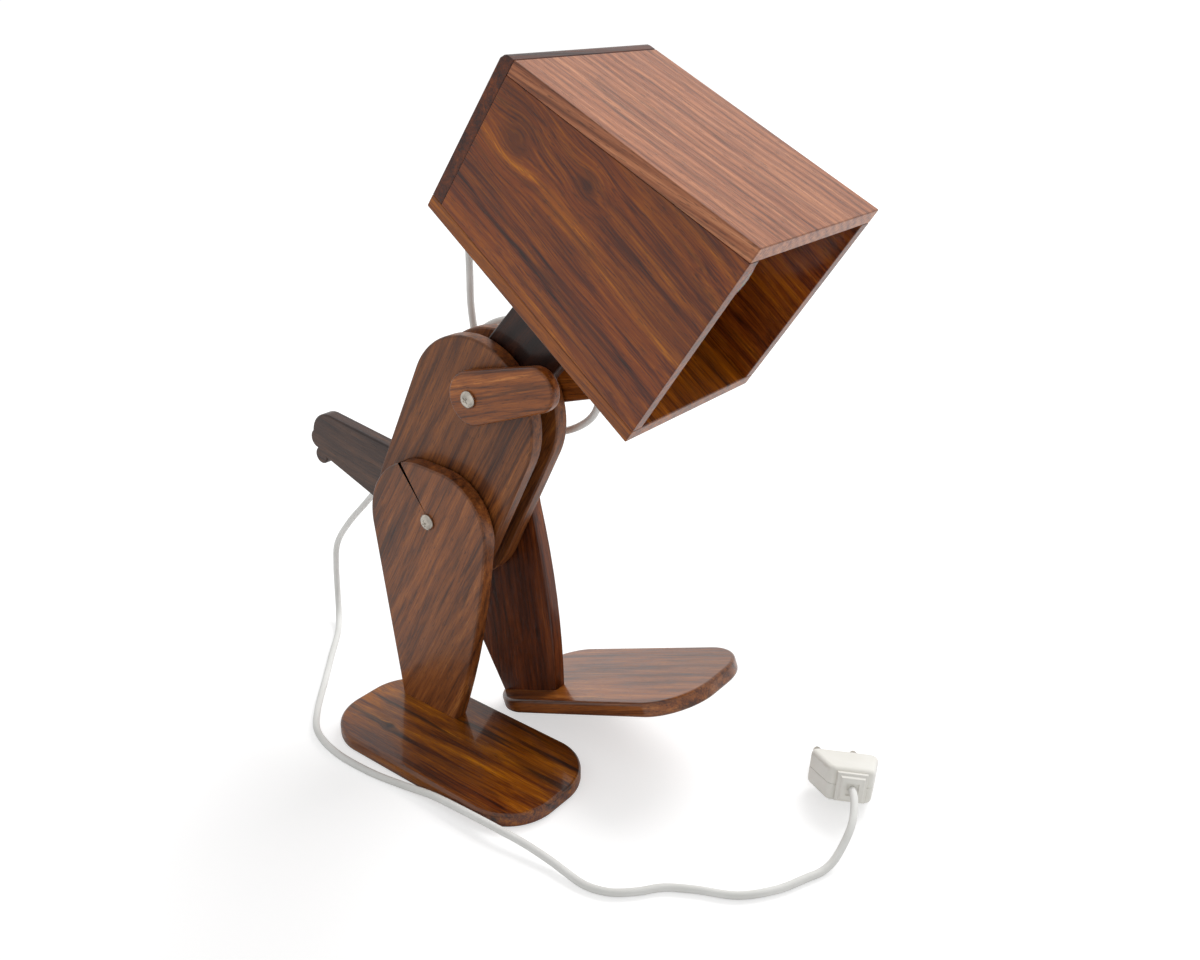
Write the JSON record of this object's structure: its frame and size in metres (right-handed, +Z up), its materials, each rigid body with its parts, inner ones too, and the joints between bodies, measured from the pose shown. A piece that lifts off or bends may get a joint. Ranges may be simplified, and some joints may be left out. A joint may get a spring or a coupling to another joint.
{
  "type": "desk lamp",
  "caption": "Robot-shaped wooden desk lamp: box shade on a tilting neck, flat body panels, swinging arms, legs, feet and tail on long screws, white mains cord and plug.",
  "frame": {"origin": "on the floor under the middle of the lamp's bounding box, without the cord", "axes": "+X forwards to the shade's open front, +Y to the lamp's left, +Z up"},
  "size_m": [0.3688, 0.1698, 0.3543],
  "materials": {
    "wood_red": "gloss varnish",
    "wood_shade": "gloss varnish",
    "wood_dark": "gloss varnish",
    "nickel": "nickel plated",
    "screw_steel": "bright zinc",
    "holder_white": "moulded",
    "cap_metal": "rolled",
    "bulb_glass": "opal",
    "bushing_white": "moulded",
    "cord_white": "satin",
    "plug_ivory": "moulded"
  },
  "bodies": {
    "torso": {"right_body_panel": "wood_red", "left_body_panel": "wood_red", "shoulder_bolt": "nickel", "hip_bolt": "nickel", "bolt_nuts": "nickel", "washers": "nickel", "cord_main": "cord_white", "plug_lower_shell": "plug_ivory", "plug_upper_shell": "plug_ivory", "plug_outlet": "plug_ivory", "plug_pins": "screw_steel"},
    "head": {"shade_top_board": "wood_shade", "shade_bottom_board": "wood_shade", "shade_back_board": "wood_shade", "shade_right_board": "wood_shade", "shade_left_board": "wood_shade", "neck_board": "wood_dark", "neck_screws": "screw_steel", "lamp_holder_base": "holder_white", "lamp_holder_body": "holder_white", "holder_screws": "screw_steel", "bulb_cap": "cap_metal", "bulb_globe": "bulb_glass", "cord_bushing": "bushing_white", "cord_upper": "cord_white"},
    "right_arm_body": {"right_arm": "wood_red"},
    "left_arm_body": {"left_arm": "wood_red"},
    "right_leg_body": {"right_leg": "wood_red", "right_foot": "wood_red", "right_foot_screws": "screw_steel"},
    "left_leg_body": {"left_leg": "wood_red", "left_foot": "wood_red", "left_foot_screws": "screw_steel"},
    "tail_body": {"tail_board": "wood_dark"}
  },
  "joints": [
    {"name": "neck_tilt", "type": "hinge", "parent": "torso", "child": "head", "pos_m": [-0.0117, 0, 0.197], "axis": [0, -1, 0], "range_deg": [-25, 35], "deforming": ["cord_upper"]},
    {"name": "right_arm_swing", "type": "hinge", "parent": "torso", "child": "right_arm_body", "pos_m": [-0.0117, 0, 0.197], "axis": [0, -1, 0], "range_deg": [-45, 75]},
    {"name": "left_arm_swing", "type": "hinge", "parent": "torso", "child": "left_arm_body", "pos_m": [-0.0117, 0, 0.197], "axis": [0, -1, 0], "range_deg": [-45, 75]},
    {"name": "right_leg_swing", "type": "hinge", "parent": "torso", "child": "right_leg_body", "pos_m": [-0.043, 0, 0.124], "axis": [0, -1, 0], "range_deg": [-20, 30]},
    {"name": "left_leg_swing", "type": "hinge", "parent": "torso", "child": "left_leg_body", "pos_m": [-0.043, 0, 0.124], "axis": [0, -1, 0], "range_deg": [-42, 8]},
    {"name": "tail_swing", "type": "hinge", "parent": "torso", "child": "tail_body", "pos_m": [-0.043, 0, 0.124], "axis": [0, -1, 0], "range_deg": [-25, 20]}
  ]
}
